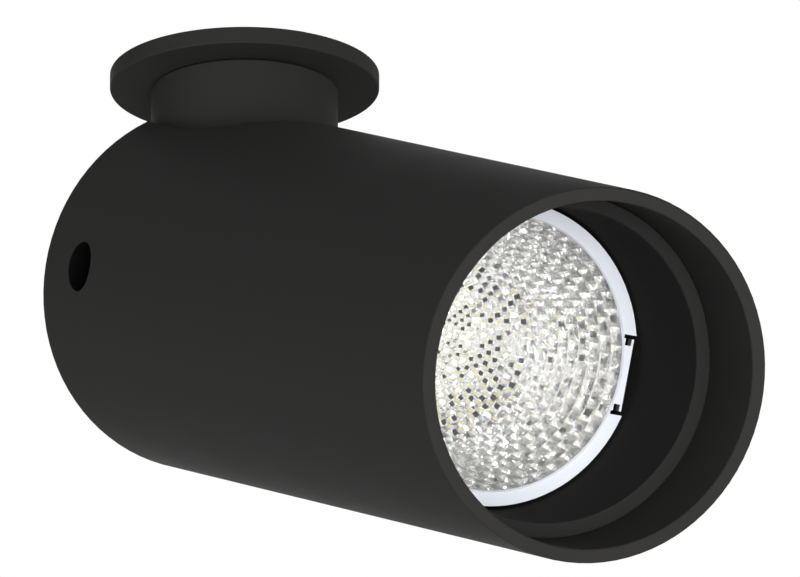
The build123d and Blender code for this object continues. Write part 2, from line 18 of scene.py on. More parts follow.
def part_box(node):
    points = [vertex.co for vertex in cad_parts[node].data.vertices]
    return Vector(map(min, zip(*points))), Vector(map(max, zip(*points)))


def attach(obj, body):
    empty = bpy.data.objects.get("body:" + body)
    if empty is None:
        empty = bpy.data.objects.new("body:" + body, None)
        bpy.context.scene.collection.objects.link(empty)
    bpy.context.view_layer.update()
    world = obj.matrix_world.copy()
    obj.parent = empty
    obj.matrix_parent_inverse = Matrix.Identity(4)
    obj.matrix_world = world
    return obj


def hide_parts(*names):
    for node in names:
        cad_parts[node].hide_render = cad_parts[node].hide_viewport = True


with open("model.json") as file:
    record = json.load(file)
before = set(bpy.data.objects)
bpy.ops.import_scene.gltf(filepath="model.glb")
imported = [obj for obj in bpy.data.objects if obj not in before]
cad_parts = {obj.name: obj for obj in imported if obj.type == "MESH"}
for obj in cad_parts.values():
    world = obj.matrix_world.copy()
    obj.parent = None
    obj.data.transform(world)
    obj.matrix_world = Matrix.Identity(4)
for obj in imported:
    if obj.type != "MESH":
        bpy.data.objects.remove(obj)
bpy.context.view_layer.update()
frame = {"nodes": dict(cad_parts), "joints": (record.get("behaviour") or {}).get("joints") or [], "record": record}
MM = 0.001
MICRON = 0.001 * MM
print("frame has", len(frame["nodes"]), "solids")

# %% [markdown]
# The tube's own frame
#
# The tube hangs at a slant, but everything in it is round about its axis. So pieces for the tube
# are modelled upright about Z, with the tilt axis at height 0, and are then moved into place by
# one matrix. The angle comes from the tilt joint: at its lower limit the tube is level.

# %% Find the tube's frame
tilt = next(joint for joint in frame["joints"] if joint["name"] == "tilt")
pivot = Vector(tilt["pos_m"])
rest_tilt = radians(-tilt["range_deg"][0])
tube_axis = Vector((0, -cos(rest_tilt), -sin(rest_tilt)))
tube_up = Vector((0, -sin(rest_tilt), cos(rest_tilt)))
tube_frame = Matrix((Vector((1, 0, 0)), tube_up, tube_axis)).transposed().to_4x4()
tube_frame.translation = pivot


def tube_span(node):
    """Lowest and highest place of a solid along the tube, and its largest radius about the axis."""
    inverse = tube_frame.inverted()
    points = [inverse @ vertex.co for vertex in frame["nodes"][node].data.vertices]
    heights = [point.z for point in points]
    return min(heights), max(heights), max(point.xy.length for point in points)


tube_back, tube_front, tube_radius = tube_span("housing_tube")
print("tube runs from", round(tube_back / MM, 1), "to", round(tube_front / MM, 1), "mm on its axis")
print("tube is", round(2 * tube_radius / MM, 1), "mm wide")

# %% [markdown]
# The camera
#
# The picture looks up at the light from its left, and parallel edges stay parallel in it, as in a
# view from far away. A very long lens gives that. The camera aims a little to the right of the
# pivot, so that the whole tube lies in the frame.

# %% Define how things are placed
def add_object(name, data):
    """A new object in the scene that shows a camera, a lamp or a mesh."""
    item = bpy.data.objects.new(name, data)
    bpy.context.scene.collection.objects.link(item)
    return item


def direction(turn, rise):
    """The way out from the spotlight, by degrees round it from its front and above the level."""
    turn, rise = radians(turn), radians(rise)
    return Vector((sin(turn) * cos(rise), -cos(turn) * cos(rise), sin(rise)))


def aim(item, place, outward):
    """Puts a camera or a lamp at a place and points it against a direction."""
    item.location = place
    item.rotation_mode = "QUATERNION"
    item.rotation_quaternion = (-outward).to_track_quat("-Z", "Y")


# %% Set the camera
azimuth = -27.09
elevation = -20.09
picture_width = 184.77 * MM
aim_right = 36.0 * MM
aim_up = 1.53 * MM
lens = 1200.0

camera_data = bpy.data.cameras.new("camera")
camera_data.lens = lens
camera = add_object("camera", camera_data)
back = direction(azimuth, elevation)
right = Vector((cos(radians(azimuth)), sin(radians(azimuth)), 0))
up = back.cross(right)
distance = picture_width * lens / camera_data.sensor_width
aim(camera, pivot + right * aim_right + up * aim_up + back * distance, back)
bpy.context.scene.camera = camera
bpy.context.scene.view_settings.view_transform = "Standard"
print("camera stands", round(distance, 2), "m away")

# %% [markdown]
# Light
#
# A black object shows its form by soft gradients, so the light comes from large softboxes. One looks
# straight into the tube's mouth: it lights the front rim and the reflector, and leaves the tube's
# top dark. It would burn out in the mirrored bowl, so reflections don't show it, and a smaller one
# beside it gives the glints. Two more stand low at the sides, one at the right and one behind.

# %% Place the softboxes
lamp_distance = 2.0
lamp_size = 1.8
glint_size = 1.0


def softbox(name, turn, rise, size, level):
    """A square lamp that faces the spotlight; at level 1 it alone shows a colour as it is written."""
    data = bpy.data.lights.new(name, "AREA")
    data.size = size
    data.energy = level * pi * pi * lamp_distance * lamp_distance
    lamp = add_object(name, data)
    outward = direction(turn, rise)
    aim(lamp, pivot + outward * lamp_distance, outward)
    return lamp


front = softbox("front_softbox", turn=-12, rise=-15, size=lamp_size, level=0.84)
front.visible_glossy = False
softbox("glint_softbox", turn=-14, rise=-22, size=glint_size, level=0.5)
softbox("side_softbox", turn=-105, rise=-35, size=lamp_size, level=0.42)
softbox("fill_softbox", turn=100, rise=-35, size=lamp_size, level=0.42)
softbox("right_softbox", turn=100, rise=12, size=lamp_size, level=0.35)
softbox("back_softbox", turn=172, rise=20, size=lamp_size, level=0.5)
print("lit by", len(bpy.data.lights), "softboxes")

# %% [markdown]
# The room
#
# The world gives the rest of the light, less from above, where a ceiling would be. To the camera and
# to reflections it is plain white. A light path tells the two apart: what the camera sees, or what
# is mirrored or looked through, takes the white.

# %% Light the room
light_from_below = 0.5
light_from_above = 0.1


def calculation(nodes, kind, operation, second=None):
    """A Math or Vector Math node with its operation and, where it is fixed, its second value."""
    node = nodes.new("ShaderNode" + kind)
    node.operation = operation
    if second is not None:
        node.inputs[1].default_value = second
    return node


world = bpy.data.worlds.new("studio")
bpy.context.scene.world = world
world.use_nodes = True
nodes, links = world.node_tree.nodes, world.node_tree.links
nodes.clear()
way = nodes.new("ShaderNodeTexCoord")
parts = nodes.new("ShaderNodeSeparateXYZ")
rise_share = nodes.new("ShaderNodeMapRange")
rise_share.inputs["From Min"].default_value = -1.0
rise_share.inputs["To Min"].default_value = light_from_below
rise_share.inputs["To Max"].default_value = light_from_above
room = nodes.new("ShaderNodeBackground")
white = nodes.new("ShaderNodeBackground")
for background in (room, white):
    background.inputs["Color"].default_value = (1, 1, 1, 1)
path = nodes.new("ShaderNodeLightPath")
seen_or_mirrored = calculation(nodes, "Math", "MAXIMUM")
seen_at_all = calculation(nodes, "Math", "MAXIMUM")
mix = nodes.new("ShaderNodeMixShader")
output = nodes.new("ShaderNodeOutputWorld")
links.new(way.outputs["Generated"], parts.inputs["Vector"])
links.new(parts.outputs["Z"], rise_share.inputs["Value"])
links.new(rise_share.outputs["Result"], room.inputs["Strength"])
links.new(path.outputs["Is Camera Ray"], seen_or_mirrored.inputs[0])
links.new(path.outputs["Is Glossy Ray"], seen_or_mirrored.inputs[1])
links.new(seen_or_mirrored.outputs["Value"], seen_at_all.inputs[0])
links.new(path.outputs["Is Transmission Ray"], seen_at_all.inputs[1])
links.new(seen_at_all.outputs["Value"], mix.inputs["Fac"])
links.new(room.outputs["Background"], mix.inputs[1])
links.new(white.outputs["Background"], mix.inputs[2])
links.new(mix.outputs["Shader"], output.inputs["Surface"])
print("room gives", light_from_below, "from below and", light_from_above, "from above")

# %% [markdown]
# The floor
#
# The light hangs under a ceiling, so the floor is a room's height below it. A camera that looks up
# may stand lower than that floor, so its underside lets the view through.

# %% Lay the floor
ceiling_height = 2.4
floor_size = 6.0


def as_object(bm, name):
    """Writes a bmesh to a new object in the scene, and frees it."""
    mesh = bpy.data.meshes.new(name)
    bm.to_mesh(mesh)
    bm.free()
    return add_object(name, mesh)


bm = bmesh.new()
bmesh.ops.create_grid(bm, x_segments=1, y_segments=1, size=floor_size / 2)
bmesh.ops.translate(bm, vec=(0, 0, -ceiling_height), verts=bm.verts)
floor = as_object(bm, "floor")
floor_finish = bpy.data.materials.new("pale_floor")
floor_finish.use_nodes = True
nodes, links = floor_finish.node_tree.nodes, floor_finish.node_tree.links
paint = nodes["Principled BSDF"]
paint.inputs["Base Color"].default_value = (0.9, 0.9, 0.9, 1)
paint.inputs["Roughness"].default_value = 0.8
underside = nodes.new("ShaderNodeNewGeometry")
clear = nodes.new("ShaderNodeBsdfTransparent")
mix = nodes.new("ShaderNodeMixShader")
links.new(underside.outputs["Backfacing"], mix.inputs["Fac"])
links.new(paint.outputs["BSDF"], mix.inputs[1])
links.new(clear.outputs["BSDF"], mix.inputs[2])
links.new(mix.outputs["Shader"], nodes["Material Output"].inputs["Surface"])
floor.data.materials.append(floor_finish)
print("floor lies", ceiling_height, "m below the ceiling")

# %% [markdown]
# One shared effect: fine grain
#
# Powder coat, castings, plated steel and plastic all differ from a flat colour in the same way:
# their tone, gloss and height vary a little over the surface. A node group makes that once. It
# puts out a tint and a roughness that wander slowly, and a height for the fine grain.

# %% Give the grain group its sockets
grain = bpy.data.node_groups.new("surface_grain", "ShaderNodeTree")
for name, kind in (
    ("Vector", "NodeSocketVector"),
    ("Grain Scale", "NodeSocketFloat"),
    ("Cloud Scale", "NodeSocketFloat"),
    ("Colour", "NodeSocketColor"),
    ("Tone Change", "NodeSocketFloat"),
    ("Roughness", "NodeSocketFloat"),
    ("Gloss Change", "NodeSocketFloat"),
):
    grain.interface.new_socket(name, in_out="INPUT", socket_type=kind)
for name, kind in (
    ("Colour", "NodeSocketColor"),
    ("Roughness", "NodeSocketFloat"),
    ("Height", "NodeSocketFloat"),
):
    grain.interface.new_socket(name, in_out="OUTPUT", socket_type=kind)
print("surface_grain has", len(grain.interface.items_tree), "sockets")

# %% Build the grain group
fine_detail = 3.0
cloud_detail = 4.0
noise_middle = 0.5

nodes, links = grain.nodes, grain.links
group_in = nodes.new("NodeGroupInput")
group_out = nodes.new("NodeGroupOutput")
fine = nodes.new("ShaderNodeTexNoise")
fine.inputs["Detail"].default_value = fine_detail
cloud = nodes.new("ShaderNodeTexNoise")
cloud.inputs["Detail"].default_value = cloud_detail
for noise, scale in ((fine, "Grain Scale"), (cloud, "Cloud Scale")):
    links.new(group_in.outputs["Vector"], noise.inputs["Vector"])
    links.new(group_in.outputs[scale], noise.inputs["Scale"])


def swing(source, amount):
    """A factor around 1 that follows a noise by plus or minus an amount."""
    centred = calculation(nodes, "Math", "SUBTRACT", noise_middle)
    scaled = calculation(nodes, "Math", "MULTIPLY_ADD")
    scaled.inputs[2].default_value = 1.0
    links.new(source, centred.inputs[0])
    links.new(centred.outputs["Value"], scaled.inputs[0])
    links.new(amount, scaled.inputs[1])
    return scaled.outputs["Value"]


both = calculation(nodes, "Math", "ADD")
links.new(fine.outputs["Fac"], both.inputs[0])
links.new(cloud.outputs["Fac"], both.inputs[1])
halved = calculation(nodes, "Math", "MULTIPLY", 0.5)
links.new(both.outputs["Value"], halved.inputs[0])
tinted = calculation(nodes, "VectorMath", "SCALE")
links.new(group_in.outputs["Colour"], tinted.inputs["Vector"])
links.new(swing(halved.outputs["Value"], group_in.outputs["Tone Change"]), tinted.inputs["Scale"])
links.new(tinted.outputs["Vector"], group_out.inputs["Colour"])
glossed = calculation(nodes, "Math", "MULTIPLY")
links.new(group_in.outputs["Roughness"], glossed.inputs[0])
links.new(swing(cloud.outputs["Fac"], group_in.outputs["Gloss Change"]), glossed.inputs[1])
links.new(glossed.outputs["Value"], group_out.inputs["Roughness"])
links.new(fine.outputs["Fac"], group_out.inputs["Height"])
print("surface_grain has", len(grain.nodes), "nodes")

# %% [markdown]
# The finishes
#
# Each finish is a Principled shader fed by the grain group, with the values that make it what it
# is: powder coat is rough and fine, a casting is coarser, plated steel is metallic with soft
# clouds. Values that are the same all over stay on the shader itself. Patterns read Object
# coordinates, which are real metres here, so a scale of 2000 is grain of about half a millimetre.

# %% Define a finish
def finish(name, colour, roughness, grain_scale, cloud_scale, tone, gloss, bump, **plain):
    """A Principled material with grain; plain gives values by the shader's own socket names."""
    material = bpy.data.materials.new(name)
    material.use_nodes = True
    nodes, links = material.node_tree.nodes, material.node_tree.links
    shader = nodes["Principled BSDF"]
    place = nodes.new("ShaderNodeTexCoord")
    group = nodes.new("ShaderNodeGroup")
    group.node_tree = grain
    group.inputs["Grain Scale"].default_value = grain_scale
    group.inputs["Cloud Scale"].default_value = cloud_scale
    group.inputs["Colour"].default_value = (*colour, 1)
    group.inputs["Tone Change"].default_value = tone
    group.inputs["Roughness"].default_value = roughness
    group.inputs["Gloss Change"].default_value = gloss
    relief = nodes.new("ShaderNodeBump")
    relief.inputs["Strength"].default_value = 1.0
    relief.inputs["Distance"].default_value = bump
    links.new(place.outputs["Object"], group.inputs["Vector"])
    links.new(group.outputs["Colour"], shader.inputs["Base Color"])
    links.new(group.outputs["Roughness"], shader.inputs["Roughness"])
    links.new(group.outputs["Height"], relief.inputs["Height"])
    links.new(relief.outputs["Normal"], shader.inputs["Normal"])
    for socket, value in plain.items():
        shader.inputs[socket.replace("_", " ")].default_value = value
    return material


# %% Make the finishes
finishes = {
    "black_coat": finish(
        "black_powder_coat", colour=(0.026, 0.0255, 0.0248), roughness=0.62, grain_scale=2600,
        cloud_scale=60, tone=0.3, gloss=0.25, bump=40 * MICRON, Specular_IOR_Level=0.004,
    ),
    "black_casting": finish(
        "black_casting", colour=(0.03, 0.03, 0.031), roughness=0.6, grain_scale=900,
        cloud_scale=50, tone=0.4, gloss=0.3, bump=60 * MICRON, Specular_IOR_Level=0.25,
    ),
    "bare_aluminium": finish(
        "bare_aluminium", colour=(0.72, 0.73, 0.74), roughness=0.42, grain_scale=1500,
        cloud_scale=120, tone=0.12, gloss=0.3, bump=10 * MICRON, Metallic=1.0,
    ),
    "zinc_steel": finish(
        "zinc_plated_steel", colour=(0.62, 0.62, 0.6), roughness=0.34, grain_scale=1800,
        cloud_scale=150, tone=0.18, gloss=0.4, bump=8 * MICRON, Metallic=1.0,
    ),
    "black_steel": finish(
        "black_oxide_steel", colour=(0.05, 0.05, 0.052), roughness=0.4, grain_scale=1800,
        cloud_scale=200, tone=0.3, gloss=0.3, bump=10 * MICRON, Metallic=0.7,
    ),
    "bronze": finish(
        "sintered_bronze", colour=(0.55, 0.38, 0.18), roughness=0.48, grain_scale=2500,
        cloud_scale=200, tone=0.35, gloss=0.3, bump=20 * MICRON, Metallic=1.0,
    ),
    "black_plastic": finish(
        "black_plastic", colour=(0.03, 0.03, 0.03), roughness=0.55, grain_scale=1500,
        cloud_scale=80, tone=0.2, gloss=0.2, bump=10 * MICRON,
    ),
    "white_nylon": finish(
        "white_nylon", colour=(0.8, 0.8, 0.78), roughness=0.5, grain_scale=1400,
        cloud_scale=90, tone=0.06, gloss=0.2, bump=10 * MICRON,
    ),
    "grey_pad": finish(
        "grey_silicone_pad", colour=(0.35, 0.36, 0.38), roughness=0.8, grain_scale=1500,
        cloud_scale=100, tone=0.12, gloss=0.1, bump=30 * MICRON,
    ),
    "board_white": finish(
        "white_ceramic_board", colour=(0.86, 0.86, 0.84), roughness=0.35, grain_scale=2000,
        cloud_scale=80, tone=0.05, gloss=0.2, bump=5 * MICRON,
    ),
    "phosphor": finish(
        "yellow_phosphor", colour=(0.88, 0.81, 0.38), roughness=0.3, grain_scale=3500,
        cloud_scale=250, tone=0.12, gloss=0.2, bump=10 * MICRON,
    ),
    "mirror_coat": finish(
        "mirror_coat", colour=(0.972, 0.971, 0.966), roughness=0.06, grain_scale=1200,
        cloud_scale=150, tone=0.04, gloss=0.4, bump=1 * MICRON, Metallic=0.9,
    ),
    "black_rubber": finish(
        "black_rubber", colour=(0.02, 0.02, 0.02), roughness=0.75, grain_scale=1500,
        cloud_scale=100, tone=0.2, gloss=0.1, bump=20 * MICRON,
    ),
}
print("made", len(finishes), "finishes")

# %% [markdown]
# Finishes on the solids
#
# The record says which material slot each solid has, so one loop gives every solid its finish. The
# solids themselves stay as they are. The baffle ring takes a deeper black than the other coated
# pieces, because its work is to swallow stray light.

# %% Dress the solids
for subpart in frame["record"]["subparts"]:
    mesh = frame["nodes"][subpart["node"]].data
    mesh.materials.clear()
    mesh.materials.append(finishes[subpart["material_slot"]])
deep_black = finish(
    "deep_black_coat", colour=(0.0235, 0.023, 0.0225), roughness=0.65, grain_scale=2600,
    cloud_scale=60, tone=0.3, gloss=0.25, bump=40 * MICRON, Specular_IOR_Level=0.004,
)
frame["nodes"]["baffle_ring"].data.materials[0] = deep_black

# %% [markdown]
# The key hole's wall
#
# The wall of the hole on the tilt axis gets painted shade: its colour is set far below the coat around it,
# and stands in for the shade that falls inside the hole. The tube gets a copy of the coat with a mask: points
# close to the tilt axis on the hole's side take a fraction of the coat's colour.

# %% Paint shade into the key hole
painted_shade_reach = 5.8 * MM
painted_shade_share = 0.15

tube_coat_with_shade = finishes["black_coat"].copy()
tube_coat_with_shade.name = "tube_coat_painted_shade"
nodes, links = tube_coat_with_shade.node_tree.nodes, tube_coat_with_shade.node_tree.links
shader = nodes["Principled BSDF"]
coat_colour = shader.inputs["Base Color"].links[0].from_socket
place = nodes.new("ShaderNodeTexCoord")
centred = calculation(nodes, "VectorMath", "SUBTRACT", pivot)
across = calculation(nodes, "VectorMath", "MULTIPLY", (0, 1, 1))
away = calculation(nodes, "VectorMath", "LENGTH")
near_axis = calculation(nodes, "Math", "LESS_THAN", painted_shade_reach)
sides = nodes.new("ShaderNodeSeparateXYZ")
left_side = calculation(nodes, "Math", "LESS_THAN", 0.0)
in_hole = calculation(nodes, "Math", "MULTIPLY")
colour_share = nodes.new("ShaderNodeMapRange")
colour_share.inputs["To Min"].default_value = 1.0
colour_share.inputs["To Max"].default_value = painted_shade_share
# Painted shade: inside the key hole the coat's colour is scaled down to a fraction.
shaded_colour = calculation(nodes, "VectorMath", "SCALE")
links.new(place.outputs["Object"], centred.inputs[0])
links.new(centred.outputs["Vector"], across.inputs[0])
links.new(across.outputs["Vector"], away.inputs[0])
links.new(away.outputs["Value"], near_axis.inputs[0])
links.new(centred.outputs["Vector"], sides.inputs["Vector"])
links.new(sides.outputs["X"], left_side.inputs[0])
links.new(near_axis.outputs["Value"], in_hole.inputs[0])
links.new(left_side.outputs["Value"], in_hole.inputs[1])
links.new(in_hole.outputs["Value"], colour_share.inputs["Value"])
links.new(coat_colour, shaded_colour.inputs[0])
links.new(colour_share.outputs["Result"], shaded_colour.inputs["Scale"])
links.new(shaded_colour.outputs["Vector"], shader.inputs["Base Color"])
frame["nodes"]["housing_tube"].data.materials[0] = tube_coat_with_shade
print("key hole is dark out to", round(painted_shade_reach / MM, 1), "mm")

# %% [markdown]
# Helpers for new pieces
#
# Most new pieces are round, so a helper draws half of a section as a line of points and spins it
# once round. Others shade a mesh with crisp edges, join two meshes, take one object's volume out of
# another, and give a piece its finishes and the body that it rides on.

# %% Define the helpers
weld_distance = 0.0001 * MM
sharp_angle = 35


def spun(section, steps):
    """Half a section of (radius, height) points turned once about Z, closed unless it starts on Z."""
    bm = bmesh.new()
    ring = [bm.verts.new((radius, 0, height)) for radius, height in section]
    line = [bm.edges.new(pair) for pair in zip(ring, ring[1:])]
    if section[0][0] > 0:
        line.append(bm.edges.new((ring[-1], ring[0])))
    bmesh.ops.spin(
        bm, geom=ring + line, cent=(0, 0, 0), axis=(0, 0, 1), angle=tau, steps=steps, use_merge=True
    )
    bmesh.ops.remove_doubles(bm, verts=bm.verts, dist=weld_distance)
    bmesh.ops.recalc_face_normals(bm, faces=bm.faces)
    return bm


def mark_sharp(bm):
    """Shades all faces smooth, and keeps edges crisp where faces meet at more than the angle."""
    limit = radians(sharp_angle)
    for face in bm.faces:
        face.smooth = True
    for edge in bm.edges:
        edge.smooth = len(edge.link_faces) == 2 and edge.calc_face_angle() < limit


def join(bm, part):
    """Adds a second bmesh to a first one, and frees it."""
    mesh = bpy.data.meshes.new("part")
    part.to_mesh(mesh)
    part.free()
    bm.from_mesh(mesh)
    bpy.data.meshes.remove(mesh)


def cut(piece, cutter):
    """Takes a cutter's volume out of a piece, then deletes the cutter."""
    modifier = piece.modifiers.new("cut", "BOOLEAN")
    modifier.object = cutter
    modifier.solver = "EXACT"
    modifier.use_self = True
    bpy.context.view_layer.update()
    solid = piece.evaluated_get(bpy.context.evaluated_depsgraph_get())
    result = bpy.data.meshes.new_from_object(solid)
    piece.modifiers.clear()
    piece.data = result
    bpy.data.objects.remove(cutter)


def add_piece(piece, body, slot, *materials):
    """Gives a piece its finishes and its body; the slot is not used."""
    for material in materials:
        piece.data.materials.append(material)
    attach(piece, body)
    print(piece.name, "has", len(piece.data.polygons), "faces")


print("edges stay crisp from", sharp_angle, "degrees")

# %% [markdown]
# The reflector
#
# The bright bowl is moulded plastic with a mirror coat. Its inside is a paraboloid of small
# pillows that overlap like bricks, and each one mirrors the whole mouth in little, which gives the
# sparkle. Those in the deep rows tip towards the mouth, so many of their crowns mirror the black tube
# as dark dots. Bump in a material could fake the sparkle, but real pillows also hold up close by. The
# section is spun first, then the rim's snap tabs are cut, then each cell of the bowl is raised.

# %% Size the reflector
reflector_back, rim_front, rim_radius = tube_span("reflector")
reflector_depth = rim_front - reflector_back
rim_width = 3.35 * MM
rim_thickness = 1.8 * MM
bowl_wall = 1.4 * MM
throat_radius = 11.0 * MM
aperture_radius = rim_radius - rim_width
lip_height = 0.5 * MM
lip_width = 0.2 * MM
lip_radius = aperture_radius + lip_width
bowl_front = rim_front - lip_height
cells_round = 46
columns = 2 * cells_round
opening_rate = (aperture_radius**2 - throat_radius**2) / reflector_depth


def bowl_radius(height):
    """Radius of the paraboloid at a height on the tube's axis."""
    return sqrt(throat_radius**2 + (height - reflector_back) * opening_rate)


def cell_width(height):
    """Width of one pillow at a height; the rows are as tall as the pillows are wide."""
    return tau * bowl_radius(height) / cells_round


row_heights = [reflector_back]
while row_heights[-1] < bowl_front:
    slope = 2 * bowl_radius(row_heights[-1]) / opening_rate
    row_heights.append(row_heights[-1] + cell_width(row_heights[-1]) * slope / sqrt(1 + slope * slope))
stretch = (bowl_front - reflector_back) / (row_heights[-1] - reflector_back)
row_heights = [reflector_back + (height - reflector_back) * stretch for height in row_heights]
row_count = len(row_heights) - 1
print("reflector has", row_count, "rows of", cells_round, "pillows")

# %% Spin the reflector's section
collar_radius = 14.9 * MM
collar_height = 3.0 * MM
rows_per_outer_point = 3

rim_back = rim_front - rim_thickness
collar_front = reflector_back + collar_height
outer_heights = [height for height in row_heights if collar_front < height < rim_back]
outer_heights = outer_heights[::rows_per_outer_point]
section = [(bowl_radius(height), height) for height in row_heights]
section += [(lip_radius, rim_front), (rim_radius, rim_front), (rim_radius, rim_back)]
section += [(bowl_radius(rim_back) + bowl_wall, rim_back)]
section += [(bowl_radius(height) + bowl_wall, height) for height in reversed(outer_heights)]
section += [(collar_radius, collar_front), (collar_radius, reflector_back)]
reflector = as_object(spun(section, columns), "faceted_reflector")
print("section has", len(section), "points")

# %% Cut the snap tabs
tab_count = 3
tab_width = 17.5 * MM
tab_relief = 1.65 * MM
slit_width = 0.9 * MM
notch_length = 2.0 * MM
notch_width = 1.5 * MM
lip_clearance = 0.15 * MM
past_rim = 2.0 * MM
below_rim = 0.5 * MM


def past_lip(offset):
    """Where a cut at an offset from the tab's middle starts, just outside the bowl's lip."""
    return sqrt(lip_radius**2 - offset**2) + lip_clearance


def block(bm, low, high, turn):
    """A box from its lowest to its highest corner, turned about Z."""
    low, high = Vector(low), Vector(high)
    size = Matrix.Diagonal((*(high - low), 1))
    middle = Matrix.Translation((low + high) / 2)
    bmesh.ops.create_cube(bm, size=1, matrix=Matrix.Rotation(turn, 4, "Z") @ middle @ size)


bm = bmesh.new()
bottom, top = rim_back - below_rim, rim_front + past_rim
outside = rim_radius + past_rim
chord = rim_radius - tab_relief
half = tab_width / 2
slit_start = past_lip(half)
notch_start = past_lip(half - notch_length)
for tab in range(tab_count):
    turn = tab * tau / tab_count
    block(bm, (chord, -half, bottom), (outside, half, top), turn)
    for side in (-1, 1):
        slit = side * half
        near, far = slit - slit_width / 2, slit + slit_width / 2
        block(bm, (slit_start, near, bottom), (outside, far, top), turn)
        near, far = sorted((slit, slit - side * notch_length))
        block(bm, (notch_start, near, bottom), (notch_start + notch_width, far, top), turn)
cut(reflector, as_object(bm, "tab_cutter"))
print("rim has", tab_count, "snap tabs")

# %% Lay out the pillows
bowl_reach = bowl_wall / 3
level_limit = 0.01 * MM

bm = bmesh.new()
bm.from_mesh(reflector.data)
mark_sharp(bm)


def row_of(height):
    """The row of the bowl that a height lies in."""
    return sum(1 for start in row_heights[1:] if start < height)


def column_of(point):
    """The column of the bowl's grid that a point lies on, counted once round the axis."""
    return round(atan2(point.y, point.x) / tau * columns) % columns


def in_bowl(face):
    """True for a face of the bowl's inside."""
    middle = face.calc_center_median()
    if not reflector_back < middle.z < bowl_front:
        return False
    near_bowl = abs(middle.xy.length - bowl_radius(middle.z)) < bowl_reach
    return near_bowl and face.normal.xy.dot(middle.xy) < 0


bowl = {face for face in bm.faces if in_bowl(face)}
seams = []
for edge in bm.edges:
    low, high = sorted((vertex.co for vertex in edge.verts), key=lambda point: point.z)
    if high.z - low.z < level_limit or not all(face in bowl for face in edge.link_faces):
        continue
    if (column_of(low) + row_of((low.z + high.z) / 2)) % 2:
        seams.append(edge)
bmesh.ops.dissolve_edges(bm, edges=seams)
cells = [[] for _ in range(row_count)]
for face in bm.faces:
    if in_bowl(face):
        cells[row_of(face.calc_center_median().z)].append(face)
        for edge in face.edges:
            edge.smooth = False
# Operators give faces in no fixed order, so each row is sorted round the axis before the draws.
for faces in cells:
    faces.sort(key=lambda face: column_of(face.calc_center_median()))
print("bowl has", sum(len(faces) for faces in cells), "cells")

# %% [markdown]
# The pillows' shapes
#
# An inset raises each cell's edge, then the crown leans by a seeded draw and tips along the axis, and
# a second inset rounds it. Sizes are shares of a pillow's width, and leans and tips are slopes. The
# tip fades from the deep rows to the outer ones.

# %% Raise the pillows
pillow_rise = 0.07
first_rise = 0.75
pillow_edge = 0.2
pillow_crown = 0.11
pillow_lean = 0.1
deep_tip = -0.46
outer_tip = -0.08
fade_start = 0.4
fade_end = 0.5
least_tip = 0.7
most_tip = 1.25
chance = Random(5)

for row, faces in enumerate(cells):
    width = cell_width(row_heights[row])
    rise = pillow_rise * width
    depth_share = (row_heights[row] - reflector_back) / (bowl_front - reflector_back)
    fade = min(max((depth_share - fade_start) / (fade_end - fade_start), 0.0), 1.0)
    tip = Vector((0, 0, deep_tip + fade * (outer_tip - deep_tip)))
    bmesh.ops.inset_individual(
        bm, faces=faces, thickness=pillow_edge * width, depth=first_rise * rise, use_even_offset=True
    )
    for face in faces:
        lean = Vector([chance.uniform(-1, 1) for _ in range(3)]) * pillow_lean
        lean += tip * chance.uniform(least_tip, most_tip)
        middle, normal = face.calc_center_median(), face.normal.copy()
        for vertex in face.verts:
            vertex.co += normal * lean.dot(vertex.co - middle)
    bmesh.ops.inset_individual(
        bm, faces=faces, thickness=pillow_crown * width, depth=(1 - first_rise) * rise,
        use_even_offset=True,
    )
print("leaned the pillows by up to", pillow_lean, "and tipped the deep ones by", -deep_tip)

# %% Finish the reflector
for face in bm.faces:
    middle = face.calc_center_median()
    on_rim = middle.z > bowl_front and middle.xy.length > bowl_radius(bowl_front)
    face.material_index = 1 if on_rim else 0
    face.smooth = True
bmesh.ops.transform(bm, matrix=tube_frame, verts=bm.verts)
bm.to_mesh(reflector.data)
bm.free()
satin_rim = finish(
    "satin_silver_rim", colour=(0.8, 0.83, 0.89), roughness=0.45, grain_scale=1500,
    cloud_scale=120, tone=0.04, gloss=0.2, bump=3 * MICRON, Metallic=0.1,
)
add_piece(reflector, "head", "mirror_coat", finishes["mirror_coat"], satin_rim)
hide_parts("reflector")

# %% [markdown]
# The light source
#
# A source of this kind holds many chips on a ceramic disc, under one round pool of silicone that is
# filled with yellow phosphor. A low white dam keeps the silicone from running while it sets. The
# pool stays small on its disc, so the reflector shows little yellow and much white.

# %% Make the disc and its dam
disc_back, disc_front, disc_radius = tube_span("led_emitter")
disc_share = 0.35
pool_radius = 4.0 * MM
dam_width = 1.2 * MM
arc_points = 9
round_steps = 96


def spun_in_tube(section, name):
    """A round piece of the tube: its section spun, shaded and moved to its place."""
    bm = spun(section, round_steps)
    mark_sharp(bm)
    bmesh.ops.transform(bm, matrix=tube_frame, verts=bm.verts)
    return as_object(bm, name)


disc_top = disc_back + disc_share * (disc_front - disc_back)
dam_height = disc_front - disc_top
dam_middle = pool_radius + dam_width / 2
under_pool = pool_radius / 2
shares = [point / (arc_points - 1) for point in range(arc_points)]
section = [
    (dam_middle - cos(pi * share) * dam_width / 2, disc_top + sin(pi * share) * dam_height)
    for share in shares
]
section += [(disc_radius, disc_top), (disc_radius, disc_back), (under_pool, disc_back)]
section += [(under_pool, disc_top)]
disc = spun_in_tube(section, "source_disc")
add_piece(disc, "head", "board_white", finishes["board_white"])
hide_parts("led_emitter")

# %% Fill the phosphor pool
pool_fill = 0.6
pool_bulge = 0.1 * MM

pool_top = disc_top + pool_fill * dam_height
section = [(share * pool_radius, pool_top + (1 - share * share) * pool_bulge) for share in shares]
section += [(pool_radius, disc_top), (0, disc_top)]
pool = spun_in_tube(section, "phosphor_pool")
add_piece(pool, "head", "phosphor", finishes["phosphor"])

